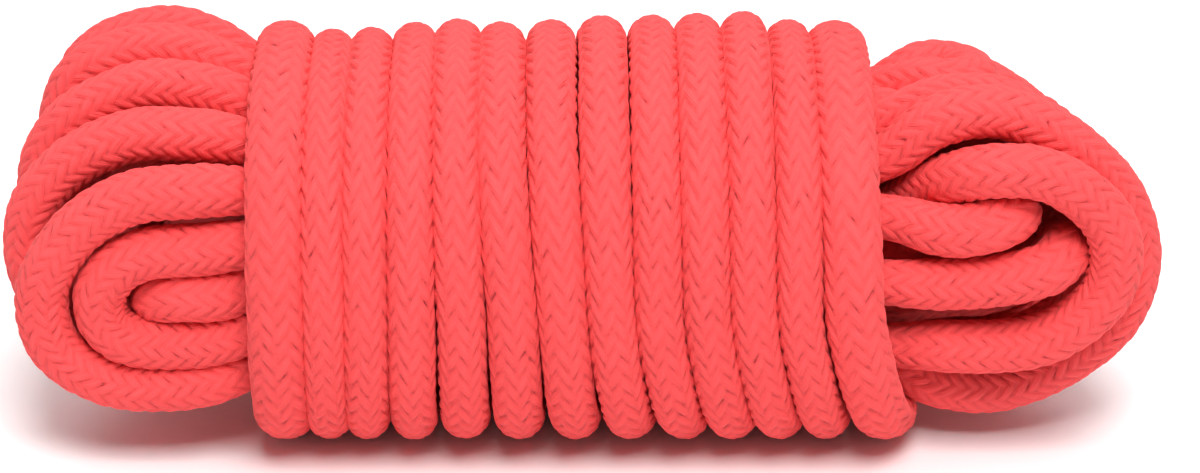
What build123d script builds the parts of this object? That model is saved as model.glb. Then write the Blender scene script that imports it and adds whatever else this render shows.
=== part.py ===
from build123d import *
import os
from math import cos, hypot, pi, radians, sin, tan

# A soft braided lead rope packed as a hank. The rope zigzags lengthwise in 28 strands with a
# bight (a U-bend) at each end, and its last part is wound round the bundle in 13 frapping turns.
# X runs along the hank, Y into its depth (the front is -Y) and Z up. The hank lies on z = 0.

# ---- driving dimensions (mm) ----
packed_dia = 6.8        # rope as squeezed in the hank; it relaxes to 8 in the open
core_dia = 4.2          # bundle of straight yarns inside the braided cover
core_clearance = 0.05   # radial gap between the cover and the core
turn_slack = 0.1        # gap between one frapping turn and the next
half_length = 82.0      # from the middle of the hank to its longest right bight
whipping_length = 7.0   # thread wound on each end of the rope
whipping_thread = 0.5   # depth of that winding, let into the necked rope
whipping_gap = 0.03     # radial gap between the winding and the neck
cover_bore = core_dia + 2 * core_clearance
turns = 13
centre_height = 29.8    # the bundle's middle above the floor, which flattens the turns' undersides

# The route below is written for a 6.8 mm rope, and spreads with the rope's thickness.
lay = packed_dia / 6.8
hub_z = centre_height * lay
turn_pitch = packed_dia + turn_slack
first_turn_x = -turn_pitch * (turns - 1) / 2 - 3.1
# where the strands leave the turns, just past the first turn and the leaning last one
left_mouth = -first_turn_x + 2.0 * lay
right_mouth = first_turn_x + turn_pitch * (turns - 1) + 7.2 * lay
inside_share = (0.37, 0.74)     # a strand's points under the turns, as shares of the way to the mouth
fan_reach = 11.0        # how far past the mouth the strands have spread out
fan_share = 0.4         # the most of the way from the mouth to its tip that a strand takes to spread

# ---- the frapping turns ----
# A turn's section, from the upper back over the top, down the front and back along the floor:
# which stretch of the turn the point is on, how far along that stretch, then y and z from the hub.
turn_section = [
    ("back", 0.68, 27.6, 7.5), ("back", 0.80, 23.8, 16.8), ("back", 0.92, 16.2, 23.4),
    ("back", 1.0, 6.8, 27.2),
    ("front", 0.0, -6.8, 27.2), ("front", 0.02, -16.2, 23.4), ("front", 0.12, -23.8, 16.8),
    ("front", 0.28, -27.6, 7.5), ("front", 0.46, -28.3, -2.5), ("front", 0.64, -26.0, -12.5),
    ("front", 0.82, -20.0, -21.5), ("front", 1.0, -10.5, -26.8),
    ("next", 0.12, 10.5, -26.8), ("next", 0.27, 20.0, -21.5), ("next", 0.42, 26.0, -12.5),
    ("next", 0.55, 28.3, -2.5),
]
most_lean = 6.2         # how much further right a late turn is at the bottom than at the top


def turn_lean(turn):
    share = min(max((turn - 1.5) / 8, 0.0), 1.0)
    return most_lean * (1 - cos(pi * share)) / 2


def turn_points(turn):
    top = first_turn_x + turn_pitch * turn
    bottom = top + turn_lean(turn)
    starts = {"back": top - turn_pitch + turn_lean(turn - 1), "front": top, "next": bottom}
    ends = {"back": top, "front": bottom, "next": top + turn_pitch}
    return [
        (starts[stretch] + (ends[stretch] - starts[stretch]) * share, y * lay, hub_z + z * lay)
        for stretch, share, y, z in turn_section
    ]


# ---- the strands under the turns ----
# Strand (layer, row): layers count from the front, rows from the floor. Under the turns the
# strands lie in three rings: ring number and the angle above the front horizontal.
ring_size = {1: (20.7, 19.7), 2: (12.4, 11.6), 3: (3.8, 0.0)}
slots = {
    (1, 1): (1, -40), (1, 2): (1, -20), (1, 3): (1, 0), (1, 4): (1, 20), (1, 5): (1, 40),
    (2, 1): (1, -60), (2, 2): (2, -36), (2, 3): (2, 0), (2, 5): (1, 60),
    (3, 1): (1, -80), (3, 2): (2, -72), (3, 3): (3, 0), (3, 4): (2, 72), (3, 5): (1, 80),
    (4, 1): (1, -100), (4, 2): (2, -108), (4, 3): (3, 180), (4, 4): (2, 108), (4, 5): (1, 100),
    (5, 1): (1, -120), (5, 2): (2, -144), (5, 3): (2, 180), (5, 4): (2, 144), (5, 5): (1, 120),
    (6, 1): (1, -140), (6, 2): (1, -160), (6, 3): (1, 180), (6, 4): (1, 160), (6, 5): (1, 140),
}
crossing_strand = (1, 4)    # goes under from the front ring to the middle ring, left to right
crossing_slot = (2, 36)
right_twist = {(1, 2): 9, (1, 3): 14, (1, 5): 3}    # other strands of ring 1 twist by 6 degrees
mouth_swell = 0.4           # the rings open by this at the mouths


def ring_place(ring, angle, swell):
    deep, high = ring_size[ring]
    turned = radians(angle)
    return (-(deep + swell) * cos(turned) * lay, hub_z + (high + swell) * sin(turned) * lay)


def slot_place(side, key):
    if side > 0 and key == crossing_strand:
        return ring_place(*crossing_slot, 0.0)
    return ring_place(*slots[key], 0.0)


def middle_place(key):
    left = slot_place(-1, key)
    right = slot_place(1, key)
    return ((left[0] + right[0]) / 2, (left[1] + right[1]) / 2)


def mouth_place(side, key, swell=mouth_swell):
    ring, angle = slots[key]
    if side > 0 and key == crossing_strand:
        return ring_place(*crossing_slot, swell)
    if side > 0 and ring == 1:
        angle += right_twist.get(key, 6)
    return ring_place(ring, angle, swell)


def inner_stretch(side, key):
    mouth = right_mouth if side > 0 else left_mouth
    near, far = (share * mouth for share in inside_share)
    return [
        (0.0, *middle_place(key)),
        (side * near, *slot_place(side, key)),
        (side * far, *mouth_place(side, key, mouth_swell * 0.6)),
        (side * mouth, *mouth_place(side, key)),
    ]


# ---- the bights ----
# Where each strand stands once it has spread out past the turns: y and z above the floor.
left_fan = {
    (1, 1): (-20.5, 13.8), (1, 2): (-20.5, 20.9), (1, 3): (-20.8, 28.0), (1, 4): (-20.5, 35.6),
    (1, 5): (-20.0, 45.0), (2, 1): (-12.0, 12.5), (2, 2): (-12.5, 20.3), (2, 3): (-12.5, 29.5),
    (2, 5): (-12.0, 50.2), (3, 1): (-4.0, 11.5), (3, 2): (-4.2, 21.0), (3, 3): (-4.2, 31.0),
    (3, 4): (-4.2, 42.0), (3, 5): (-4.0, 53.7), (4, 1): (4.0, 11.5), (4, 2): (3.8, 21.0),
    (4, 3): (3.8, 31.0), (4, 4): (3.8, 43.0), (4, 5): (4.0, 55.0), (5, 1): (12.0, 12.5),
    (5, 2): (12.0, 22.0), (5, 3): (12.0, 31.0), (5, 4): (12.0, 43.0), (5, 5): (12.0, 55.2),
    (6, 2): (20.0, 22.5), (6, 4): (20.0, 38.0), (6, 5): (20.0, 49.5),
}
right_fan = {
    (1, 1): (-19.5, 18.0), (1, 2): (-20.5, 28.8), (1, 3): (-20.5, 38.0), (1, 5): (-13.5, 53.5),
    (2, 1): (-12.5, 9.3), (2, 2): (-12.0, 26.5), (2, 3): (-12.0, 34.5), (2, 5): (-6.0, 54.5),
    (3, 1): (-4.5, 11.0), (3, 2): (-4.2, 21.0), (3, 3): (-4.2, 29.5), (3, 4): (-4.2, 38.0),
    (3, 5): (-2.5, 46.0), (4, 1): (4.0, 11.0), (4, 2): (3.8, 20.5), (4, 3): (3.8, 29.5),
    (4, 4): (3.8, 41.0), (4, 5): (3.5, 53.0), (5, 1): (12.0, 11.5), (5, 2): (12.0, 21.0),
    (5, 3): (12.0, 30.0), (5, 4): (12.0, 41.0), (5, 5): (12.0, 52.5), (6, 1): (19.5, 14.5),
    (6, 2): (20.0, 22.0), (6, 4): (20.0, 39.0), (6, 5): (20.0, 49.0),
}
# The crossing strand rises past its neighbours in two steps before its right bight.
crossing_fan = [(-13.0, 38.5), (-20.8, 46.5)]

# side, strand it comes from, strand it goes to, how far its tip falls short of half_length,
# and how much the tip is lifted
bights = [
    (+1, (2, 3), (1, 3), 20.0, 1.5), (-1, (1, 3), (2, 2), 19.0, 2.0),
    (+1, (2, 2), (1, 2), 12.5, 1.5), (-1, (1, 2), (1, 4), 11.0, -1.5),
    (+1, (1, 4), (1, 1), 3.7, 0.0), (-1, (1, 1), (1, 5), 3.0, -2.0),
    (+1, (1, 5), (2, 1), 0.0, -2.0), (-1, (2, 1), (2, 5), 0.0, 1.0),
    (+1, (2, 5), (3, 1), 2.0, -1.0), (-1, (3, 1), (3, 5), 1.5, 5.0),
    (+1, (3, 5), (3, 2), 10.0, 0.0), (-1, (3, 2), (3, 4), 12.0, 0.0),
    (+1, (3, 4), (3, 3), 20.0, 0.0), (-1, (3, 3), (4, 3), 22.5, 0.0),
    (+1, (4, 3), (4, 2), 20.0, 0.0), (-1, (4, 2), (4, 4), 15.0, 0.0),
    (+1, (4, 4), (4, 1), 12.0, 0.0), (-1, (4, 1), (4, 5), 5.0, 9.0),
    (+1, (4, 5), (5, 5), 21.0, 0.0), (-1, (5, 5), (5, 1), 8.5, 0.0),
    (+1, (5, 1), (5, 4), 13.5, 0.0), (-1, (5, 4), (5, 2), 15.5, 0.0),
    (+1, (5, 2), (5, 3), 21.5, 0.0), (-1, (5, 3), (6, 4), 22.5, 0.0),
    (+1, (6, 4), (6, 2), 10.0, 0.0), (-1, (6, 2), (6, 5), 11.0, 0.0),
    (+1, (6, 5), (6, 1), 4.0, 0.0),
]
turning_room = 12.5         # the least way past the mouth that a bight needs to turn back
listed_room = 24.0          # the room between the shortest and longest tips for the listed shortfalls
least_half_width = 5.6      # the tightest bight's half width, at the rope's centre line
corner = 0.414              # a bight's end follows an octagon's corners


def fan_places(side, key):
    if side > 0 and key == crossing_strand:
        places = crossing_fan
    elif side > 0:
        places = [right_fan[key]]
    else:
        places = [left_fan[key]]
    return [(y * lay, z * lay) for y, z in places]


def spread_out(side, places, fan_x):
    """A strand's points past the mouth; the last is at fan_x and earlier ones step back from it."""
    step_back = fan_reach * lay * 0.7
    steps = range(len(places) - 1, -1, -1)
    return [(side * (fan_x - step_back * step), *place) for step, place in zip(steps, places)]


def bight_points(side, start, finish, shortfall, lift):
    mouth = right_mouth if side > 0 else left_mouth
    # each bight keeps its share of the way from the least turning room to the longest one's tip
    nearest_tip = mouth + turning_room * lay
    tip = nearest_tip + (half_length - nearest_tip) * (1 - shortfall / listed_room)
    out_way = fan_places(side, start)
    back_way = fan_places(side, finish)
    out_y, out_z = out_way[-1]
    back_y, back_z = back_way[-1]
    gap = hypot(back_y - out_y, back_z - out_z)
    across_y = (back_y - out_y) / gap
    across_z = (back_z - out_z) / gap
    half = max(gap / 2, least_half_width * lay)
    fan_x = mouth + min(fan_reach * lay, fan_share * (tip - mouth))
    reach = min(1.2 * half, tip - fan_x - 1.5)
    root = tip - reach
    loop = []
    for along, aside in ((corner, -1), (1, -corner), (1, corner), (corner, 1)):
        raised = lift * lay * (1 if along == 1 else 0.35)
        loop.append((
            side * (root + reach * along),
            (out_y + back_y) / 2 + across_y * half * aside,
            (out_z + back_z) / 2 + across_z * half * aside + raised,
        ))
    return (
        inner_stretch(side, start) + spread_out(side, out_way, fan_x) + loop
        + spread_out(side, back_way, fan_x)[::-1] + inner_stretch(side, finish)[::-1]
    )


# ---- the rope's two ends and the stretch that leads into the turns ----
def past_mouth(side, points):
    """Points given by how far past the mouth they are, then y and z above the floor."""
    mouth = right_mouth if side > 0 else left_mouth
    return [(side * (mouth + x * lay), y * lay, z * lay) for x, y, z in points]


def between(a, b):
    return tuple((m + n) / 2 for m, n in zip(a, b))


start_tail_points = past_mouth(-1, [(11.0, -12.6, 30.0)]) + inner_stretch(-1, (2, 3))[::-1]
start_tail_points[1] = (-left_mouth + 2.0 * lay, *mouth_place(-1, (2, 3)))
first_turn = turn_points(0)
lead_points = (
    inner_stretch(-1, (6, 1))
    + past_mouth(-1, [(7.0, 18.5, 13.8), (13.5, 22.0, 14.0), (15.5, 26.8, 19.5), (10.5, 28.3, 27.5)])
)
last_turn_end = turn_points(turns - 1)[-1]
end_tail_turn = past_mouth(1, [
    (7.0, 28.3, 37.5), (15.0, 28.3, 37.5), (20.0, 26.2, 35.0), (20.0, 22.9, 31.4), (15.0, 20.7, 29.2),
])
end_tail_points = end_tail_turn + inner_stretch(1, (6, 3))[:0:-1]


# ---- tubes ----
def corner_radii(points):
    radii = []
    for before, here, after in zip(points, points[1:], points[2:]):
        arriving = Vector(*here) - Vector(*before)
        leaving = Vector(*after) - Vector(*here)
        shorter = min(arriving.length, leaving.length)
        half_turn = radians(arriving.get_angle(leaving)) / 2
        radii.append(0.45 * shorter / tan(half_turn))
    return radii


def tube(points, outer, bore=0.0):
    with BuildPart() as made:
        with BuildLine() as route:
            FilletPolyline(*points, radius=corner_radii(points))
        start = Plane(origin=route.wire() @ 0, z_dir=route.wire() % 0)
        with BuildSketch(start):
            Circle(outer / 2)
            if bore:
                Circle(bore / 2, mode=Mode.SUBTRACT)
        sweep()
    return made.part, route.wire().length


def finish(name, part):
    part.label = name
    export_step(part, f"parts/{name}.step")


def report(name, part, points, length):
    section = pi * (packed_dia ** 2 - cover_bore ** 2) / 4
    print(
        f"{name}: length {length:.1f}, least radius {min(corner_radii(points)):.1f}, "
        f"volume {part.volume / (section * length):.3f} of section times length"
    )


def open_cover(name, points):
    body, length = tube(points, packed_dia, cover_bore)
    report(name, body, points, length)
    finish(name, body)


def turn_cover(name, points):
    body, length = tube(points, packed_dia, cover_bore)
    with BuildPart() as cover:
        add(body)
        with Locations((0, 0, -packed_dia)):
            Box(4 * half_length, 4 * half_length, 2 * packed_dia, mode=Mode.SUBTRACT)
    report(name, cover.part, points, length)
    finish(name, cover.part)


def end_cover(name, points, whipping_name):
    """A tail: its first point is the rope's end, where the whipping is let into a neck."""
    body, length = tube(points, packed_dia, cover_bore)
    end_face = Plane(origin=points[0], z_dir=Vector(*points[1]) - Vector(*points[0]))
    with BuildPart() as cover:
        add(body)
        with BuildSketch(end_face):
            Circle(packed_dia)
            Circle(packed_dia / 2 - whipping_thread, mode=Mode.SUBTRACT)
        extrude(amount=whipping_length, mode=Mode.SUBTRACT)
    report(name, cover.part, points, length)
    finish(name, cover.part)
    with BuildPart() as winding:
        with BuildSketch(end_face):
            Circle(packed_dia / 2)
            Circle(packed_dia / 2 - whipping_thread + whipping_gap, mode=Mode.SUBTRACT)
        extrude(amount=whipping_length)
    finish(whipping_name, winding.part)


def core_group(name, routes):
    with BuildPart() as group:
        for points in routes:
            add(tube(points, core_dia)[0])
    finish(name, group.part)


os.makedirs("parts", exist_ok=True)

left_routes = [bight_points(*bight) for bight in bights if bight[0] < 0]
right_routes = [bight_points(*bight) for bight in bights if bight[0] > 0]
for side_name, routes in (("left", left_routes), ("right", right_routes)):
    for number, points in enumerate(routes, start=1):
        open_cover(f"{side_name}_bight_{number:02d}", points)
    core_group(f"{side_name}_bight_cores", routes)

# Each turn runs from the middle of the run before its first point to the same place a turn on.
whole_winding = lead_points + [p for turn in range(turns) for p in turn_points(turn)] + end_tail_turn
section_count = len(turn_section)
turn_routes = []
for turn in range(turns):
    first = len(lead_points) + turn * section_count
    last = first + section_count - 1
    turn_routes.append(
        [between(whole_winding[first - 1], whole_winding[first])]
        + whole_winding[first:last + 1]
        + [between(whole_winding[last], whole_winding[last + 1])]
    )
    turn_cover(f"frapping_turn_{turn + 1:02d}", turn_routes[-1])
core_group("frapping_turn_cores", turn_routes)

lead_route = lead_points + [between(lead_points[-1], first_turn[0])]
open_cover("lead_into_turns", lead_route)
end_cover("start_tail", start_tail_points, "start_whipping")
end_tail_route = ([between(last_turn_end, end_tail_points[0])] + end_tail_points)[::-1]
end_cover("end_tail", end_tail_route, "end_whipping")
core_group("end_cores", [lead_route, start_tail_points, end_tail_route])
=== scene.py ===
"""A soft braided lead rope, wound up as a hank with wrapped middle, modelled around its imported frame."""
from math import cos, hypot, pi, radians, sin

import bpy
import numpy as np
from bpy.props import FloatProperty, FloatVectorProperty, IntProperty, PointerProperty
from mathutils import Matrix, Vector


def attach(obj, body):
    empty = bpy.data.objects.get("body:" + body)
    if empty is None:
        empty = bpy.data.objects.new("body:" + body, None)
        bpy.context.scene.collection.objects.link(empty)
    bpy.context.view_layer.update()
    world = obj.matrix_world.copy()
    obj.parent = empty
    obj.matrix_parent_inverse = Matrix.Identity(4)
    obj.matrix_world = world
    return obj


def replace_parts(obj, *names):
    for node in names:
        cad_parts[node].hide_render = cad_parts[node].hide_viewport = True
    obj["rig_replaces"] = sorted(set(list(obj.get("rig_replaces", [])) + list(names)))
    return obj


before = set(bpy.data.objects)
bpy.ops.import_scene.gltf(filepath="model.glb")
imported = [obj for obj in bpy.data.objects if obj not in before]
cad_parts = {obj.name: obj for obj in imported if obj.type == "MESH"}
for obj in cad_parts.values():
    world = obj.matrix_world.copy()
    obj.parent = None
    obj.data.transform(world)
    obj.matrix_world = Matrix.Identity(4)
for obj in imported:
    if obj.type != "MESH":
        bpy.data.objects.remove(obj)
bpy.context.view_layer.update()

bl_info = {
    "name": "Lead Rope Hank",
    "version": (1, 0, 0),
    "blender": (4, 5, 0),
    "location": "View3D > Sidebar > Lead Rope",
    "description": "Builds a braided lead rope wound up as a hank",
    "category": "Add Mesh",
}

MM = 0.001

# ---------------------------------------------------------------- the rope's route, in millimetres
HUB_Z = 29.8
LEFT_MOUTH, RIGHT_MOUTH = 46.5, 45.5
RIGHT_MOUTH_LEAN = 0.1          # the last turn leans, so the mouth's top is nearer the middle
INSIDE_X = (17.0, 34.0)         # a strand's points under the turns, from the middle
# A strand has spread out this far past the mouth, or this share of its way to the tip if less.
FAN_REACH, FAN_SHARE = 7.5, 0.4

# A turn's section: the stretch a point is on, how far along it, then y and z from the hub.
TURN_SECTION = [
    ("back", 0.68, 27.6, 7.5), ("back", 0.80, 23.8, 16.8), ("back", 0.92, 16.2, 23.4),
    ("back", 1.0, 6.8, 27.2), ("front", 0.0, -6.8, 27.2), ("front", 0.02, -16.2, 23.4),
    ("front", 0.12, -23.8, 16.8), ("front", 0.28, -27.6, 7.5), ("front", 0.46, -28.3, -2.5),
    ("front", 0.64, -26.6, -12.5), ("front", 0.82, -21.3, -21.3), ("front", 1.0, -11.5, -26.2),
    ("next", 0.12, 10.5, -26.2), ("next", 0.27, 20.0, -21.3), ("next", 0.42, 26.0, -12.5),
    ("next", 0.55, 28.3, -2.5),
]
# Each turn: where it is at the top, at the middle of the front and at the bottom, how wide it
# lies, and how far its top stands above the hank's mean.
TURN_PLACES = [
    (-44.5, -44.3, -44.5, 8.9, -0.2), (-37.6, -37.4, -38.1, 7.0, -1.8), (-31.5, -31.5, -32.3, 7.0, -1.5),
    (-24.9, -24.8, -25.2, 7.2, -0.5), (-18.5, -17.5, -17.4, 7.4, 0.2), (-12.0, -10.0, -9.2, 7.6, -0.5),
    (-4.5, -2.7, -0.6, 7.6, 0.0), (3.1, 4.3, 8.1, 7.5, 0.8), (10.6, 11.2, 16.2, 7.4, 0.8),
    (17.5, 18.2, 23.7, 7.4, 1.2), (24.3, 24.9, 30.7, 7.2, 1.5), (31.2, 31.6, 37.8, 7.0, 0.0),
    (38.4, 39.6, 46.8, 8.9, -0.2),
]
FRONT_MIDDLE = 0.46         # the middle's share of the way down the front
SECTION_TOP = 27.2          # the section's highest points above the hub
TURN_PITCH = 6.9            # to the turns that would lie before the first and after the last

RING_SIZE = {1: (20.7, 19.7), 2: (12.4, 11.6), 3: (3.8, 0.0)}
SLOTS = {
    (1, 1): (1, -40), (1, 2): (1, -20), (1, 3): (1, 0), (1, 4): (1, 20), (1, 5): (1, 40),
    (2, 1): (1, -60), (2, 2): (2, -36), (2, 3): (2, 0), (2, 5): (1, 60),
    (3, 1): (1, -80), (3, 2): (2, -72), (3, 3): (3, 0), (3, 4): (2, 72), (3, 5): (1, 80),
    (4, 1): (1, -100), (4, 2): (2, -108), (4, 3): (3, 180), (4, 4): (2, 108), (4, 5): (1, 100),
    (5, 1): (1, -120), (5, 2): (2, -144), (5, 3): (2, 180), (5, 4): (2, 144), (5, 5): (1, 120),
    (6, 1): (1, -140), (6, 2): (1, -160), (6, 3): (1, 180), (6, 4): (1, 160), (6, 5): (1, 140),
}
CROSSING_STRAND = (1, 4)
CROSSING_SLOT = (2, 36)
RIGHT_TWIST = {(1, 2): 22, (1, 3): 31, (1, 5): 12, (2, 5): 12, (3, 5): 11, (4, 5): 9}
MOUTH_DENT = {(1, 3): 3.0}     # a left strand pushed inwards where it leaves the turns
COMMON_TWIST = 6
MOUTH_SWELL = 0.4           # the rings open by this at the mouths
INNER_SWELL = 0.6           # and by this share of it further in

LEFT_FAN = {
    (1, 1): (-20.5, 13.9), (1, 2): (-20.5, 20.6), (1, 3): (-20.8, 28.0), (1, 4): (-20.5, 35.6),
    (1, 5): (-20.0, 45.0), (2, 1): (-12.0, 12.5), (2, 2): (-12.5, 20.3), (2, 3): (-12.5, 29.5),
    (2, 5): (-12.0, 50.2), (3, 1): (-4.0, 11.5), (3, 2): (-4.2, 21.0), (3, 3): (-4.2, 31.0),
    (3, 4): (-4.2, 42.0), (3, 5): (-4.0, 53.7), (4, 1): (4.0, 11.5), (4, 2): (3.8, 21.0),
    (4, 3): (3.8, 31.0), (4, 4): (3.8, 43.0), (4, 5): (4.0, 54.8), (5, 1): (12.0, 12.5),
    (5, 2): (12.0, 22.0), (5, 3): (12.0, 31.0), (5, 4): (12.0, 43.0), (5, 5): (12.0, 54.6),
    (6, 2): (20.0, 22.5), (6, 4): (20.0, 38.0), (6, 5): (20.0, 49.8),
}
RIGHT_FAN = {
    (1, 1): (-19.5, 19.2), (1, 2): (-20.5, 29.8), (1, 3): (-20.5, 38.3), (1, 5): (-13.5, 54.9),
    (2, 1): (-12.5, 9.3), (2, 2): (-12.0, 27.5), (2, 3): (-12.0, 35.5), (2, 5): (-6.0, 53.6),
    (3, 1): (-4.5, 11.0), (3, 2): (-4.2, 21.0), (3, 3): (-4.2, 29.5), (3, 4): (-4.2, 38.0),
    (3, 5): (-2.5, 46.0), (4, 1): (4.0, 11.0), (4, 2): (3.8, 20.5), (4, 3): (3.8, 29.5),
    (4, 4): (3.8, 41.0), (4, 5): (3.5, 52.0), (5, 1): (12.0, 11.5), (5, 2): (12.0, 21.0),
    (5, 3): (12.0, 30.0), (5, 4): (12.0, 41.0), (5, 5): (12.0, 51.0), (6, 1): (19.5, 14.5),
    (6, 2): (20.0, 22.0), (6, 4): (20.0, 39.0), (6, 5): (19.0, 46.5),
}
# the crossing strand's points past the right mouth: how far past it, then y and z
CROSSING_FAN = [(4.5, -10.0, 40.5), (12.0, -20.6, 48.3)]

# side, strand it comes from, strand it goes to, where its tip is, and how much the tip is lifted
BIGHTS = [
    (+1, (2, 3), (1, 3), 63.5, 2.8), (-1, (1, 3), (2, 2), 63.0, 1.0),
    (+1, (2, 2), (1, 2), 71.3, 5.0), (-1, (1, 2), (1, 4), 71.0, -1.5),
    (+1, (1, 4), (1, 1), 78.3, 0.0), (-1, (1, 1), (1, 5), 79.6, -3.5),
    (+1, (1, 5), (2, 1), 82.0, -2.0), (-1, (2, 1), (2, 5), 82.0, 1.0),
    (+1, (2, 5), (3, 1), 79.0, -2.0), (-1, (3, 1), (3, 5), 80.5, 5.0),
    (+1, (3, 5), (3, 2), 72.0, 0.0), (-1, (3, 2), (3, 4), 70.0, 0.0),
    (+1, (3, 4), (3, 3), 62.0, 0.0), (-1, (3, 3), (4, 3), 59.5, 0.0),
    (+1, (4, 3), (4, 2), 62.0, 0.0), (-1, (4, 2), (4, 4), 67.0, 0.0),
    (+1, (4, 4), (4, 1), 70.0, 0.0), (-1, (4, 1), (4, 5), 78.0, 10.0),
    (+1, (4, 5), (5, 5), 59.0, -0.5), (-1, (5, 5), (5, 1), 77.5, 9.0),
    (+1, (5, 1), (5, 4), 68.5, 0.0), (-1, (5, 4), (5, 2), 66.5, 0.0),
    (+1, (5, 2), (5, 3), 60.5, 0.0), (-1, (5, 3), (6, 4), 59.5, 0.0),
    (+1, (6, 4), (6, 2), 72.0, 0.0), (-1, (6, 2), (6, 5), 75.0, 7.0),
    (+1, (6, 5), (6, 1), 74.0, -2.0),
]
LEAST_HALF_WIDTH = 5.6      # of a bight, at the rope's centre line
CORNER = 0.414              # a bight's end follows an octagon's corners
ROUNDNESS = 1.2             # how long a bight's end is for its half width
TIP_ROOM = 1.5              # least run between the fan and the bight's end
EARLY_LIFT = 0.35           # the share of its lift that a bight has before its tip
LEAD_IN = [(-53.5, 18.5, 13.8), (-60.0, 22.0, 14.0), (-62.0, 26.8, 19.5), (-57.0, 28.3, 27.5)]
END_TURN = [
    (52.5, 28.3, 37.5), (60.5, 28.3, 37.5), (65.5, 26.2, 35.0), (65.5, 22.9, 31.4), (60.5, 20.7, 29.2),
]
START_TAIL = [(-57.5, -12.6, 30.0)]
START_MOUTH = 44.5

# The rope's section at a control point: half width, half depth and braid pitch.
OPEN_ROPE = (4.05, 4.05, 2.3)
PACKED_ROPE = (3.4, 3.4, 2.8)
TURN_DEPTH, TURN_BRAID_PITCH = 3.6, 3.0
TURN_COUNT = len(TURN_PLACES)


def ring_place(ring, angle, swell):
    deep, high = RING_SIZE[ring]
    turned = radians(angle)
    return (-(deep + swell) * cos(turned), HUB_Z + (high + swell) * sin(turned))


def slot_place(side, key):
    if side > 0 and key == CROSSING_STRAND:
        return ring_place(*CROSSING_SLOT, 0.0)
    return ring_place(*SLOTS[key], 0.0)


def mouth_place(side, key, swell=MOUTH_SWELL):
    ring, angle = SLOTS[key]
    if side > 0 and key == CROSSING_STRAND:
        return ring_place(*CROSSING_SLOT, swell)
    if side > 0 and ring == 1:
        angle += RIGHT_TWIST.get(key, COMMON_TWIST)
    if side < 0:
        swell -= MOUTH_DENT.get(key, 0.0)
    return ring_place(ring, angle, swell)


def inner_stretch(side, key):
    """A strand's points under the turns, from near the middle to the mouth."""
    near, far = INSIDE_X
    mouth = RIGHT_MOUTH if side > 0 else LEFT_MOUTH
    leaning = RIGHT_MOUTH_LEAN if side > 0 else 0.0
    return [
        (side * near, *slot_place(side, key)),
        (side * far, *mouth_place(side, key, MOUTH_SWELL * INNER_SWELL)),
        (side * mouth - leaning * (mouth_place(side, key)[1] - HUB_Z), *mouth_place(side, key)),
    ]


def spread_out(side, key, mouth, tip):
    """A strand's points past the mouth, on its way to a bight's tip."""
    if side > 0 and key == CROSSING_STRAND:
        return [(mouth + past, y, z) for past, y, z in CROSSING_FAN]
    fan = RIGHT_FAN if side > 0 else LEFT_FAN
    return [(mouth + min(FAN_REACH, FAN_SHARE * (tip - mouth)), *fan[key])]


def bight_points(side, start, finish, tip, lift):
    """A bight from one strand's middle round its tip and back to the next strand's middle."""
    mouth = RIGHT_MOUTH if side > 0 else LEFT_MOUTH
    out_way = spread_out(side, start, mouth, tip)
    back_way = spread_out(side, finish, mouth, tip)
    (out_x, out_y, out_z), (back_x, back_y, back_z) = out_way[-1], back_way[-1]
    gap = hypot(back_y - out_y, back_z - out_z)
    across_y, across_z = (back_y - out_y) / gap, (back_z - out_z) / gap
    half = max(gap / 2, LEAST_HALF_WIDTH)
    reach = min(ROUNDNESS * half, tip - max(out_x, back_x) - TIP_ROOM)
    root = tip - reach
    loop = []
    for along, aside in ((CORNER, -1), (1, -CORNER), (1, CORNER), (CORNER, 1)):
        raised = lift * (1 if along == 1 else EARLY_LIFT)
        loop.append((
            side * (root + reach * along),
            (out_y + back_y) / 2 + across_y * half * aside,
            (out_z + back_z) / 2 + across_z * half * aside + raised,
        ))
    out_fan = [(side * x, y, z) for x, y, z in out_way]
    back_fan = [(side * x, y, z) for x, y, z in back_way[::-1]]
    return inner_stretch(side, start) + out_fan + loop + back_fan + inner_stretch(side, finish)[::-1]


def turn_points(turn):
    top, middle, bottom, _, rise = TURN_PLACES[turn]
    previous = TURN_PLACES[turn - 1][2] if turn else bottom - TURN_PITCH
    following = TURN_PLACES[turn + 1][0] if turn < TURN_COUNT - 1 else top + TURN_PITCH
    points = []
    for stretch, share, y, z in TURN_SECTION:
        if stretch == "back":
            x = previous + (top - previous) * share
        elif stretch == "next":
            x = bottom + (following - bottom) * share
        elif share < FRONT_MIDDLE:
            x = top + (middle - top) * share / FRONT_MIDDLE
        else:
            x = middle + (bottom - middle) * (share - FRONT_MIDDLE) / (1 - FRONT_MIDDLE)
        lifted = 1 + max(z, 0.0) / SECTION_TOP * rise / SECTION_TOP
        points.append((x, y, HUB_Z + z * lifted))
    return points


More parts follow.
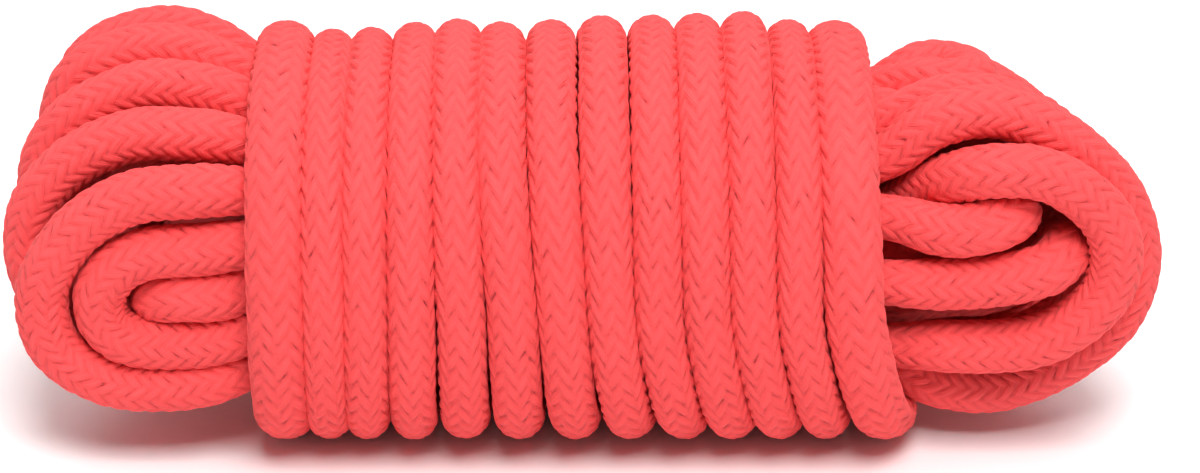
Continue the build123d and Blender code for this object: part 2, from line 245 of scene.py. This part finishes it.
def rope_spans():
    """Every span of the rope in order: its name, its control points and their sections."""
    spans = []
    tail = START_TAIL + inner_stretch(-1, (2, 3))[::-1]
    tail[1] = (-START_MOUTH, *mouth_place(-1, (2, 3)))
    spans.append(["start_tail", tail, [PACKED_ROPE] * len(tail)])
    count = {1: 0, -1: 0}
    for bight in BIGHTS:
        side = bight[0]
        count[side] += 1
        points = bight_points(*bight)
        sections = [PACKED_ROPE] * 3 + [OPEN_ROPE] * (len(points) - 6) + [PACKED_ROPE] * 3
        name = f"{'right' if side > 0 else 'left'}_bight_{count[side]:02d}"
        spans.append([name, points, sections])
    lead = inner_stretch(-1, (6, 1)) + LEAD_IN
    spans.append(["lead_into_turns", lead, [PACKED_ROPE] * 3 + [OPEN_ROPE] * len(LEAD_IN)])
    for turn in range(TURN_COUNT):
        points = turn_points(turn)
        section = (TURN_PLACES[turn][3] / 2, TURN_DEPTH, TURN_BRAID_PITCH)
        spans.append([f"frapping_turn_{turn + 1:02d}", points, [section] * len(points)])
    tail = END_TURN + inner_stretch(1, (6, 3))[::-1]
    spans.append(["end_tail", tail, [OPEN_ROPE] * len(END_TURN) + [PACKED_ROPE] * 3])
    return spans


SPANS = rope_spans()

# ---------------------------------------------------------------- the braid
COLUMNS = 12                # columns of floats round the rope, leaning left and right in turn
AROUND = 7                  # faces across one column
SIDES = COLUMNS * AROUND
COLUMN = np.arange(SIDES) / AROUND      # each side's place among the columns
PER_PITCH = 6               # rings along one float
COARSE_RINGS = 9            # out of sight, only each ninth ring is kept
SIGHT_FROM, SIGHT_FULL = 34.0, 38.0     # strands show past this distance from the middle
# A float's size, as shares of its cell's diagonal and of the distance to the float beside it.
FLOAT_HALF_LENGTH, FLOAT_HALF_WIDTH = 0.66, 0.53
CROWN_ROUNDNESS = 0.65      # lower is flatter on top and steeper at the sides
FLOAT_WOBBLE = 0.09         # the most that a float stands above or below the others
HIDDEN_RELIEF, CAP_RELIEF = 0.7, 0.5    # out of sight, and at the middle of a tube's closed end
ABOVE_FLOOR = 0.02          # the cover goes no lower than this, in millimetres
# Each tube's strip of the baking map: where it starts and how wide it is, as shares of the strip,
# the same along the map, and how high the points of its end triangles are.
STRIP_FROM, STRIP_WIDTH = 0.02, 0.96
STRIP_LOW, STRIP_LENGTH = 0.01, 0.98
LOW_CAP, HIGH_CAP = (0.002, 0.008, 0.008), (0.998, 0.992, 0.992)


def add_nurbs(name, points_mm):
    """One open smooth curve with the given control points."""
    data = bpy.data.curves.new(name, "CURVE")
    data.dimensions = "3D"
    data.resolution_u = 8
    spline = data.splines.new("NURBS")
    spline.points.add(len(points_mm) - 1)
    for point, place in zip(spline.points, points_mm):
        point.co = (*(c * MM for c in place), 1.0)
    spline.order_u = 3
    spline.use_endpoint_u = True
    made = bpy.data.objects.new(name, data)
    bpy.context.scene.collection.objects.link(made)
    return made


class Line:
    """The rope's centre line with its frames, sections and braid phase, in millimetres."""

    def __init__(self):
        control = [p for _, points, _ in SPANS for p in points]
        sections = np.array([s for _, _, parts in SPANS for s in parts])
        guide = add_nurbs("rope_guide", control)
        mesh = bpy.data.meshes.new_from_object(guide)
        flat = np.empty(len(mesh.vertices) * 3)
        mesh.vertices.foreach_get("co", flat)
        bpy.data.objects.remove(guide)
        bpy.data.meshes.remove(mesh)
        self.places = flat.reshape(-1, 3) / MM
        steps = np.linalg.norm(np.diff(self.places, axis=0), axis=1)
        self.along = np.concatenate([[0.0], np.cumsum(steps)])
        segments = len(control) - 2
        parameter = np.linspace(0, segments, len(self.places))
        knots = np.clip(np.arange(len(control)) - 0.5, 0, segments)
        self.sections = np.stack([np.interp(parameter, knots, sections[:, k]) for k in range(3)], axis=1)
        self.bounds = {}
        first = 0
        for name, points, _ in SPANS:
            last = first + len(points)
            start = 0.0 if first == 0 else np.interp(first - 1, parameter, self.along)
            end = self.along[-1] if last == len(control) else np.interp(last - 1, parameter, self.along)
            self.bounds[name] = (start, end)
            first = last
        self.phase = np.concatenate([[0.0], np.cumsum(steps / self.sections[1:, 2])])
        self.make_frames()

    def make_frames(self):
        """Across is X squared to the rope in the turns, and is carried along without twist elsewhere."""
        ahead = np.gradient(self.places, axis=0)
        ahead /= np.linalg.norm(ahead, axis=1)[:, None]
        across = np.zeros_like(ahead)
        first = np.searchsorted(self.along, self.bounds["frapping_turn_01"][0])
        last = np.searchsorted(self.along, self.bounds[f"frapping_turn_{TURN_COUNT:02d}"][1])
        inside = slice(first, last)
        across[inside] = np.array([1.0, 0.0, 0.0]) - ahead[inside] * ahead[inside, :1]
        across[inside] /= np.linalg.norm(across[inside], axis=1)[:, None]
        for k in range(first - 1, -1, -1):
            across[k] = across[k + 1] - ahead[k] * (across[k + 1] @ ahead[k])
            across[k] /= np.linalg.norm(across[k])
        for k in range(last, len(ahead)):
            across[k] = across[k - 1] - ahead[k] * (across[k - 1] @ ahead[k])
            across[k] /= np.linalg.norm(across[k])
        self.across = across
        self.outward = np.cross(across, ahead)

    def at_phase(self, phase, values):
        return np.stack([np.interp(phase, self.phase, row) for row in values.T], axis=-1)

    def phase_at(self, along):
        return np.interp(along, self.along, self.phase)


def float_relief(column, phase, width, pitch):
    """Height of the braid's floats at a place, from 0 in the gaps to 1 on a float's crown."""
    best = np.zeros_like(phase)
    length = np.hypot(width, pitch)
    own = np.floor(column)
    for beside in (-1, 0, 1):
        number = own + beside
        lean = np.where(np.mod(number, 2) == 0, 1.0, -1.0)
        start = np.where(lean > 0, 0.0, 0.5)
        aside = column - (number + 0.5)
        nearest = np.round(phase - start - lean * aside)
        for step in (-1, 0, 1):
            ahead = phase - (nearest + step + start)
            along = (aside * width ** 2 + lean * ahead * pitch ** 2) / length
            away = (ahead - lean * aside) * width * pitch / length
            along = along / (FLOAT_HALF_LENGTH * length)
            away = away / (FLOAT_HALF_WIDTH * width * pitch / length)
            crown = np.clip(1 - away ** 2, 0, 1) ** CROWN_ROUNDNESS
            height = crown * (1 - 0.2 * along ** 2) - 0.55 * np.abs(along) ** 3
            wobble = np.sin(number * 12.9 + (nearest + step) * 78.2 + 0.3) * FLOAT_WOBBLE
            best = np.maximum(best, np.where(np.abs(along) < 1.0, height + wobble * crown, 0.0))
    return np.clip(best, 0, 1)


def kept_rings(line, member):
    """The rings of braid along a span, and how much of its relief each shows: none when hidden."""
    start, end = line.bounds[member]
    first = round(line.phase_at(start) * PER_PITCH)
    last = round(line.phase_at(end) * PER_PITCH)
    rings = np.arange(first, last + 1)
    if "turn_" in member:
        return rings, np.ones(len(rings))
    from_middle = np.abs(np.interp(rings / PER_PITCH, line.phase, line.places[:, 0]))
    shown = np.clip((from_middle - SIGHT_FROM) / (SIGHT_FULL - SIGHT_FROM), 0, 1)
    keep = (shown > 0) | (rings % COARSE_RINGS == 0)
    keep[0] = keep[-1] = True
    return rings[keep], shown[keep]


def cover_surface(line, rings, shown, props):
    """The cover's points in millimetres, ring by ring, and the relief at each."""
    inside = COLUMN - np.floor(COLUMN)
    zigzag = np.where(np.mod(np.floor(COLUMN), 2) == 0, inside - 0.5, 0.5 - inside)
    phase = rings[:, None] / PER_PITCH + zigzag[None, :]
    phase = np.clip(phase, line.phase[0], line.phase[-1])
    section = line.at_phase(phase, line.sections)
    centre = line.at_phase(phase, line.places)
    across = line.at_phase(phase, line.across)
    outward = line.at_phase(phase, line.outward)
    # The columns wind slowly to and fro round the rope, and the cover swells a little here and there.
    drift = np.sin(phase * 0.021 + 1.7) * 0.5 + np.sin(phase * 0.057) * 0.25
    angle = COLUMN[None, :] / COLUMNS * 2 * pi + drift
    width = (section[..., 0] + section[..., 1]) * pi / COLUMNS
    relief = float_relief(COLUMN[None, :] + 0 * phase, phase, width, section[..., 2])
    relief = relief * shown[:, None] + HIDDEN_RELIEF * (1 - shown[:, None])
    sink = (1 - relief) * props.braid_depth / MM
    swelling = np.sin(phase * 1.31 + angle) + np.sin(phase * 0.47 - 2 * angle)
    sink += swelling * props.unevenness / MM
    place = (
        centre
        + across * ((section[..., 0] - sink) * np.cos(angle))[..., None]
        + outward * ((section[..., 1] - sink) * np.sin(angle))[..., None]
    )
    place[..., 2] = np.maximum(place[..., 2], ABOVE_FLOOR)
    return place, relief


def tube_faces(base, count):
    """The quads along a tube of so many rings, and the triangles that close its two ends."""
    ring = np.arange(count - 1)[:, None] * SIDES
    side = np.arange(SIDES)[None, :]
    beside = (side + 1) % SIDES
    quads = np.stack([ring + side, ring + beside, ring + SIDES + beside, ring + SIDES + side], axis=-1)
    low_centre, high_centre = base + count * SIDES, base + count * SIDES + 1
    top = base + (count - 1) * SIDES
    low_fan = np.stack([np.full(SIDES, low_centre), base + beside[0], base + side[0]], axis=-1)
    high_fan = np.stack([np.full(SIDES, high_centre), top + side[0], top + beside[0]], axis=-1)
    return [quads.reshape(-1, 4) + base, np.concatenate([low_fan, high_fan])]


def quad_corners(here, there, low, high):
    """Across and along coordinates of every quad's corners, in the order of its points."""
    across = np.stack([here + 0 * low, there + 0 * low, there + 0 * low, here + 0 * low], axis=-1)
    along = np.stack([low + 0 * here, low + 0 * here, high + 0 * here, high + 0 * here], axis=-1)
    return across, along


def tube_maps(rings, number, tubes):
    """A tube's two UV maps: its strip of the baking map, and the braid's lay in columns and floats."""
    here, there = COLUMN[None, :] / COLUMNS, (COLUMN[None, :] + 1 / AROUND) / COLUMNS
    high = (rings - rings[0]) / (rings[-1] - rings[0])
    across, along = quad_corners(here, there, high[:-1, None], high[1:, None])
    strip = 1 / tubes
    quad_u = (number + STRIP_FROM + STRIP_WIDTH * across) * strip
    quad_uv = np.stack([quad_u, STRIP_LOW + STRIP_LENGTH * along], axis=-1)
    phase = rings / PER_PITCH
    floats_along = quad_corners(here, there, phase[:-1, None], phase[1:, None])[1]
    lay = np.stack([across * COLUMNS, floats_along], axis=-1)
    fan = np.stack([(here + there)[0] / 2, there[0], here[0]], axis=-1)
    fan_u = (number + STRIP_FROM + STRIP_WIDTH * fan) * strip
    low_uv = np.stack([fan_u, np.broadcast_to(LOW_CAP, fan_u.shape)], axis=-1)
    high_uv = np.stack([fan_u[:, [0, 2, 1]], np.broadcast_to(HIGH_CAP, fan_u.shape)], axis=-1)
    fan_uv = np.concatenate([low_uv, high_uv]).reshape(-1, 2)
    return [quad_uv.reshape(-1, 2), fan_uv], [lay.reshape(-1, 2), np.zeros((SIDES * 6, 2))]


def braid_piece(name, line, members, props):
    """A mesh of the braided cover along the named spans, one closed tube for each."""
    verts, faces, uvs, lays, reliefs = [], [], [], [], []
    base = 0
    for number, member in enumerate(members):
        rings, shown = kept_rings(line, member)
        place, relief = cover_surface(line, rings, shown, props)
        caps = np.stack([place[0].mean(axis=0), place[-1].mean(axis=0)])
        verts += [place.reshape(-1, 3), caps]
        reliefs += [relief.reshape(-1), np.full(2, CAP_RELIEF)]
        faces += tube_faces(base, len(rings))
        bake_uv, lay_uv = tube_maps(rings, number, len(members))
        uvs += bake_uv
        lays += lay_uv
        base += len(rings) * SIDES + 2
    return build_tubes(name, verts, faces, uvs, lays, reliefs)


def build_tubes(name, verts, faces, uvs, lays, reliefs):
    """Puts the tubes' arrays into one mesh with its two UV maps and its relief attribute."""
    mesh = bpy.data.meshes.new(name)
    points = np.concatenate(verts) * MM
    loops = np.concatenate([block.reshape(-1) for block in faces])
    sizes = np.concatenate([np.full(len(block), block.shape[1]) for block in faces])
    mesh.vertices.add(len(points))
    mesh.vertices.foreach_set("co", points.reshape(-1))
    mesh.loops.add(len(loops))
    mesh.loops.foreach_set("vertex_index", loops.astype(np.int32))
    mesh.polygons.add(len(sizes))
    starts = np.concatenate([[0], np.cumsum(sizes)[:-1]])
    mesh.polygons.foreach_set("loop_start", starts.astype(np.int32))
    mesh.update(calc_edges=True)
    for title, rows in (("OFBake", uvs), ("lay", lays)):
        layer = mesh.uv_layers.new(name=title)
        layer.data.foreach_set("uv", np.concatenate(rows).reshape(-1))
    relief = mesh.attributes.new("relief", "FLOAT", "POINT")
    relief.data.foreach_set("value", np.concatenate(reliefs))
    mesh.validate()
    mesh.shade_smooth()
    made = bpy.data.objects.new(name, mesh)
    bpy.context.scene.collection.objects.link(made)
    return made


# ---------------------------------------------------------------- materials
class Nodes:
    """Short calls for a material's nodes."""

    def __init__(self, name):
        self.material = bpy.data.materials.new(name)
        self.material.use_nodes = True
        self.tree = self.material.node_tree
        self.shader = self.tree.nodes["Principled BSDF"]

    def add(self, kind, **settings):
        node = self.tree.nodes.new(kind)
        for name, value in settings.items():
            setattr(node, name, value)
        return node

    def join(self, source, target):
        self.tree.links.new(source, target)

    def math(self, operation, first, second=None):
        node = self.add("ShaderNodeMath", operation=operation)
        for socket, value in zip(node.inputs, (first, second)):
            if value is None:
                continue
            if isinstance(value, (int, float)):
                socket.default_value = value
            else:
                self.join(value, socket)
        return node.outputs[0]

    def noise(self, vector, scale, detail=3.0):
        node = self.add("ShaderNodeTexNoise")
        self.join(vector, node.inputs["Vector"])
        node.inputs["Scale"].default_value = scale
        node.inputs["Detail"].default_value = detail
        return node.outputs["Fac"]

    def ramp(self, factor, stops):
        node = self.add("ShaderNodeValToRGB")
        elements = node.color_ramp.elements
        while len(elements) < len(stops):
            elements.new(0.5)
        for element, (position, colour) in zip(elements, stops):
            element.position = position
            element.color = (*colour, 1.0)
        self.join(factor, node.inputs["Fac"])
        return node.outputs["Color"]

    def bump(self, height, distance, before=None):
        node = self.add("ShaderNodeBump")
        node.inputs["Strength"].default_value = 1.0
        node.inputs["Distance"].default_value = distance
        self.join(height, node.inputs["Height"])
        if before is not None:
            self.join(before, node.inputs["Normal"])
        return node.outputs["Normal"]


def shade(colour, factor):
    return tuple(min(1.0, c * factor) for c in colour)


# Grain sizes along Object coordinates, per metre, and along the braid's lay, per column and float.
PATCHES, MOTTLE, FUZZ = 55.0, 420.0, 2600.0
THREADS_ACROSS, THREADS_ALONG = 1.2, 9.0
THREAD_BUMP, FUZZ_BUMP, YARN_BUMP = 0.00022, 0.00007, 0.0001


def cotton_braid(name, props):
    """Soft matt cotton: each float's threads run along it; the gaps between floats get deep red painted
    shade and the crowns a painted highlight.
    """
    made = Nodes(name)
    # lit is the cotton's own colour on the crowns; deep is the painted shade colour of the gaps between
    # floats.
    lit, deep = tuple(props.crown_colour), tuple(props.painted_gap_shade)
    relief = made.add("ShaderNodeAttribute", attribute_name="relief").outputs["Fac"]
    places = made.add("ShaderNodeTexCoord").outputs["Object"]
    lay = made.add("ShaderNodeUVMap", uv_map="lay").outputs["UV"]
    patches = made.noise(places, PATCHES)
    fuzz = made.noise(places, FUZZ, 2.0)
    parts = made.add("ShaderNodeSeparateXYZ")
    made.join(lay, parts.inputs["Vector"])
    stretched = made.add("ShaderNodeCombineXYZ")
    made.join(made.math("MULTIPLY", parts.outputs["X"], THREADS_ACROSS), stretched.inputs["X"])
    made.join(made.math("MULTIPLY", parts.outputs["Y"], THREADS_ALONG), stretched.inputs["Y"])
    threads = made.noise(stretched.outputs["Vector"], 1.0, 2.0)
    mottle = made.noise(places, MOTTLE, 2.0)
    # Painted shade: the lower the relief, the darker the colour, and the mottle makes some gaps darker than
    # others.
    uneven = made.math("MULTIPLY", made.math("MULTIPLY", mottle, mottle), 2.6)
    hollow_shade = made.math("MULTIPLY", made.math("SUBTRACT", 1.0, relief), uneven)
    lift = made.math("SUBTRACT", 1.0, hollow_shade)
    for grain, amount in ((threads, 0.50), (patches, 0.35), (mottle, 0.45), (fuzz, 0.25)):
        lift = made.math("ADD", lift, made.math("MULTIPLY", made.math("SUBTRACT", grain, 0.5), amount))
    # The ramp paints shade from deep in the gaps up to the cotton's colour, with a painted highlight above
    # it on the crowns.
    colour = made.ramp(lift, [
        (0.0, deep),
        (0.30, tuple(d * 0.35 + c * 0.62 for d, c in zip(deep, lit))),
        (0.58, shade(lit, 0.95)),
        (1.0, tuple(min(1.0, c * 1.06 + 0.008) for c in lit)),
    ])
    made.join(colour, made.shader.inputs["Base Color"])
    normal = made.bump(threads, THREAD_BUMP)
    normal = made.bump(fuzz, FUZZ_BUMP, normal)
    made.join(normal, made.shader.inputs["Normal"])
    made.shader.inputs["Roughness"].default_value = 0.86
    made.shader.inputs["Specular IOR Level"].default_value = 0.22
    made.shader.inputs["Sheen Weight"].default_value = 0.12
    made.shader.inputs["Sheen Roughness"].default_value = 0.45
    made.shader.inputs["Sheen Tint"].default_value = (1.0, 0.55, 0.50, 1.0)
    return made.material


def plain_yarn(name, colour, thread_scale):
    """Yarn or thread laid close: fine streaks along Object coordinates, with a little colour change."""
    made = Nodes(name)
    places = made.add("ShaderNodeTexCoord").outputs["Object"]
    streaks = made.noise(places, thread_scale)
    tint = made.ramp(streaks, [(0.3, shade(colour, 0.7)), (0.7, shade(colour, 1.08))])
    made.join(tint, made.shader.inputs["Base Color"])
    made.join(made.bump(streaks, YARN_BUMP), made.shader.inputs["Normal"])
    made.shader.inputs["Roughness"].default_value = 0.8
    return made.material


# ---------------------------------------------------------------- sizes and colours
class LeadRopeSettings(bpy.types.PropertyGroup):
    """Sizes and colours of the rope."""

    braid_depth: FloatProperty(
        name="Braid depth", description="From a float's crown to the gaps between floats",
        default=0.00045, unit="LENGTH",
    )
    unevenness: FloatProperty(
        name="Unevenness", description="How far the soft rope's surface swells and sinks",
        default=0.00004, unit="LENGTH",
    )
    core_radius: FloatProperty(
        name="Core radius", description="Radius of the core inside the braided cover",
        default=0.0029, unit="LENGTH",
    )
    thread_radius: FloatProperty(
        name="Whipping thread", description="Radius of the thread wound on the ends",
        default=0.00035, unit="LENGTH",
    )
    crown_colour: FloatVectorProperty(
        name="Crown colour", description="Cotton where the light reaches", subtype="COLOR",
        default=(0.88, 0.080, 0.083),
    )
    # The gap colour is painted shade: it darkens the cotton between the floats, where shade falls.
    painted_gap_shade: FloatVectorProperty(
        name="Gap colour", description="Cotton deep between the floats", subtype="COLOR",
        default=(0.26, 0.014, 0.020),
    )
    core_colour: FloatVectorProperty(
        name="Core colour", description="Unbleached core yarns", subtype="COLOR",
        default=(0.72, 0.62, 0.50),
    )
    whipping_turns: IntProperty(
        name="Whipping turns", description="Turns of thread on each end", default=9, min=3,
    )


class StageSettings(bpy.types.PropertyGroup):
    """The floor's size and the camera."""

    camera_distance: FloatProperty(
        name="Camera distance", description="From the hank's middle", default=0.600, unit="LENGTH",
    )
    camera_height_angle: FloatProperty(
        name="Camera angle", description="Above the floor", default=radians(25), subtype="ANGLE",
    )
    lens: FloatProperty(name="Lens", description="Focal length in millimetres", default=118.8)
    floor_size: FloatProperty(
        name="Floor size", description="Side of the square floor", default=6.0, unit="LENGTH",
    )


# ---------------------------------------------------------------- operators
LEFT_GROUPS = [(1, 2, 3, 4), (5, 6, 7), (8, 9, 10), (11, 12, 13)]
RIGHT_GROUPS = [(1, 2, 3, 4), (5, 6, 7, 8), (9, 10, 11), (12, 13, 14)]
TURN_GROUPS = [(1, 2, 3), (4, 5, 6), (7, 8, 9), (10, 11), (12, 13)]
FIRST_THREAD = 0.8          # from the rope's end to the whipping's first turn, in millimetres
THREAD_STEP = 1.9           # from one turn of the whipping to the next, in thread radii
LENS_SHIFT = (0.015, -0.00875)
# Each soft light: its place, the side of its square and its power in watts.
LAMPS = (
    ("key", (0.10, -0.66, 1.12), 0.55, 15.0),
    ("overhead", (0.0, 0.05, 1.5), 1.5, 14.0),
    ("back", (0.1, 1.1, 0.9), 1.0, 3.0),
)
READ = {}       # the rope's line, read once


def the_line():
    if "line" not in READ:
        READ["line"] = Line()
    return READ["line"]


def braid_material(props):
    return bpy.data.materials.get("coral_cotton_braid") or cotton_braid("coral_cotton_braid", props)


def turned_to(direction, axis):
    """The rotation that points an object's axis along the direction."""
    return Vector(direction).to_track_quat(axis, "Y").to_euler()


def finish_piece(piece, material, nodes):
    piece.data.materials.clear()
    piece.data.materials.append(material)
    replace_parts(piece, *nodes)
    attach(piece, "root")


class LEADROPE_OT_camera(bpy.types.Operator):
    """Puts the camera at the hank's front"""

    bl_idname = "leadrope.camera"
    bl_label = "Place camera"

    def execute(self, context):
        stage = context.scene.lead_rope_stage
        data = bpy.data.cameras.new("camera")
        data.lens = stage.lens
        data.sensor_width = 36.0
        data.shift_x, data.shift_y = LENS_SHIFT
        data.clip_start = 0.01
        camera = bpy.data.objects.new("camera", data)
        context.scene.collection.objects.link(camera)
        angle, distance = stage.camera_height_angle, stage.camera_distance
        camera.location = (0.0, -distance * cos(angle), HUB_Z * MM + distance * sin(angle))
        camera.rotation_euler = (pi / 2 - angle, 0.0, 0.0)
        context.scene.camera = camera
        return {"FINISHED"}


class LEADROPE_OT_core(bpy.types.Operator):
    """Lays the rope's core along its whole route, as one open spline"""

    bl_idname = "leadrope.core"
    bl_label = "Lay core"

    def execute(self, context):
        props = context.scene.lead_rope
        core = add_nurbs("rope_core", [p for _, points, _ in SPANS for p in points])
        core.data.bevel_depth = props.core_radius
        core.data.bevel_resolution = 2
        core.data.use_fill_caps = True
        nodes = [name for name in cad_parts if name.endswith("_cores")]
        finish_piece(core, plain_yarn("core_cotton", tuple(props.core_colour), 900.0), nodes)
        return {"FINISHED"}


class LEADROPE_OT_turns(bpy.types.Operator):
    """Braids the cover of the frapping turns"""

    bl_idname = "leadrope.turns"
    bl_label = "Braid frapping turns"

    def execute(self, context):
        props = context.scene.lead_rope
        for number, group in enumerate(TURN_GROUPS, start=1):
            names = [f"frapping_turn_{turn:02d}" for turn in group]
            piece = braid_piece(f"frapping_turns_{number}", the_line(), names, props)
            finish_piece(piece, braid_material(props), names)
        return {"FINISHED"}


class LEADROPE_OT_bights(bpy.types.Operator):
    """Braids the cover of the bights at both ends"""

    bl_idname = "leadrope.bights"
    bl_label = "Braid bights"

    def execute(self, context):
        props = context.scene.lead_rope
        for side, groups in (("left", LEFT_GROUPS), ("right", RIGHT_GROUPS)):
            for number, group in enumerate(groups, start=1):
                names = [f"{side}_bight_{bight:02d}" for bight in group]
                piece = braid_piece(f"{side}_bights_{number}", the_line(), names, props)
                finish_piece(piece, braid_material(props), names)
        return {"FINISHED"}


class LEADROPE_OT_ends(bpy.types.Operator):
    """Braids the lead into the turns and the rope's two tails"""

    bl_idname = "leadrope.ends"
    bl_label = "Braid ends"

    def execute(self, context):
        props = context.scene.lead_rope
        for name in ("start_tail", "lead_into_turns", "end_tail"):
            piece = braid_piece(f"{name}_braid", the_line(), [name], props)
            finish_piece(piece, braid_material(props), [name])
        return {"FINISHED"}


class LEADROPE_OT_whippings(bpy.types.Operator):
    """Winds thread round each end of the rope"""

    bl_idname = "leadrope.whippings"
    bl_label = "Wind whippings"

    def execute(self, context):
        props = context.scene.lead_rope
        line = the_line()
        thread = plain_yarn("whipping_thread_red", shade(tuple(props.crown_colour), 0.75), 1800.0)
        for name, inward in (("start", 1), ("end", -1)):
            rope_end = 0.0 if inward > 0 else line.along[-1]
            rings = []
            for turn in range(props.whipping_turns):
                along = rope_end + inward * (FIRST_THREAD + turn * props.thread_radius / MM * THREAD_STEP)
                phase = line.phase_at(along)
                place = line.at_phase(phase, line.places) * MM
                ahead = np.cross(line.at_phase(phase, line.across), line.at_phase(phase, line.outward))
                bpy.ops.object.select_all(action="DESELECT")
                bpy.ops.mesh.primitive_torus_add(
                    major_segments=40, minor_segments=8, major_radius=PACKED_ROPE[0] * MM,
                    minor_radius=props.thread_radius, location=tuple(place), rotation=turned_to(ahead, "Z"),
                )
                rings.append(context.object)
            bpy.ops.object.select_all(action="DESELECT")
            for ring in rings:
                ring.select_set(True)
            context.view_layer.objects.active = rings[0]
            bpy.ops.object.join()
            piece = context.object
            piece.name = f"{name}_whipping_thread"
            bpy.ops.object.transform_apply(location=True, rotation=True, scale=True)
            bpy.ops.object.shade_smooth()
            finish_piece(piece, thread, [f"{name}_whipping"])
        return {"FINISHED"}


class LEADROPE_OT_declare(bpy.types.Operator):
    bl_idname = "leadrope.declare"
    bl_label = "Declare rope"

    def execute(self, context):
        line = the_line()
        return {"FINISHED"}


class LEADROPE_OT_stage(bpy.types.Operator):
    """Adds the plain floor and soft studio lights"""

    bl_idname = "leadrope.stage"
    bl_label = "Set stage"

    def execute(self, context):
        stage = context.scene.lead_rope_stage
        bpy.ops.object.select_all(action="DESELECT")
        bpy.ops.mesh.primitive_plane_add(size=stage.floor_size, location=(0.0, 0.0, 0.0))
        floor = context.object
        floor.name = "floor"
        bpy.ops.object.mode_set(mode="EDIT")
        bpy.ops.mesh.subdivide(number_cuts=3)
        bpy.ops.object.mode_set(mode="OBJECT")
        white = Nodes("white_sweep")
        grain = white.noise(white.add("ShaderNodeTexCoord").outputs["Object"], 40.0)
        tint = white.ramp(grain, [(0.0, (0.93, 0.93, 0.93)), (1.0, (0.96, 0.96, 0.96))])
        white.join(tint, white.shader.inputs["Base Color"])
        white.shader.inputs["Roughness"].default_value = 0.9
        floor.data.materials.append(white.material)
        for name, place, size, power in LAMPS:
            data = bpy.data.lights.new(name, "AREA")
            data.size = size
            data.energy = power
            lamp = bpy.data.objects.new(name, data)
            lamp.location = place
            lamp.rotation_euler = turned_to([-c for c in place], "-Z")
            context.scene.collection.objects.link(lamp)
        world = bpy.data.worlds.new("studio")
        world.use_nodes = True
        background = world.node_tree.nodes["Background"]
        background.inputs["Color"].default_value = (1.0, 1.0, 1.0, 1.0)
        background.inputs["Strength"].default_value = 0.24
        context.scene.world = world
        context.scene.view_settings.view_transform = "Standard"
        return {"FINISHED"}


class LEADROPE_PT_panel(bpy.types.Panel):
    """Sizes, colours and steps of the lead rope"""

    bl_idname = "LEADROPE_PT_panel"
    bl_label = "Lead Rope"
    bl_space_type = "VIEW_3D"
    bl_region_type = "UI"
    bl_category = "Lead Rope"

    def draw(self, context):
        layout = self.layout
        for group in (context.scene.lead_rope, context.scene.lead_rope_stage):
            for name in group.__annotations__:
                layout.prop(group, name)
        for operator in OPERATORS:
            layout.operator(operator.bl_idname)


OPERATORS = (
    LEADROPE_OT_camera, LEADROPE_OT_core, LEADROPE_OT_turns, LEADROPE_OT_bights, LEADROPE_OT_ends,
    LEADROPE_OT_whippings, LEADROPE_OT_declare, LEADROPE_OT_stage,
)
CLASSES = (LeadRopeSettings, StageSettings, *OPERATORS, LEADROPE_PT_panel)


def register():
    for kind in CLASSES:
        bpy.utils.register_class(kind)
    bpy.types.Scene.lead_rope = PointerProperty(type=LeadRopeSettings)
    bpy.types.Scene.lead_rope_stage = PointerProperty(type=StageSettings)


def unregister():
    del bpy.types.Scene.lead_rope_stage
    del bpy.types.Scene.lead_rope
    for kind in reversed(CLASSES):
        bpy.utils.unregister_class(kind)


def main():
    register()
    for operator in OPERATORS:
        group, name = operator.bl_idname.split(".")
        getattr(getattr(bpy.ops, group), name)()


if __name__ == "__main__":
    main()
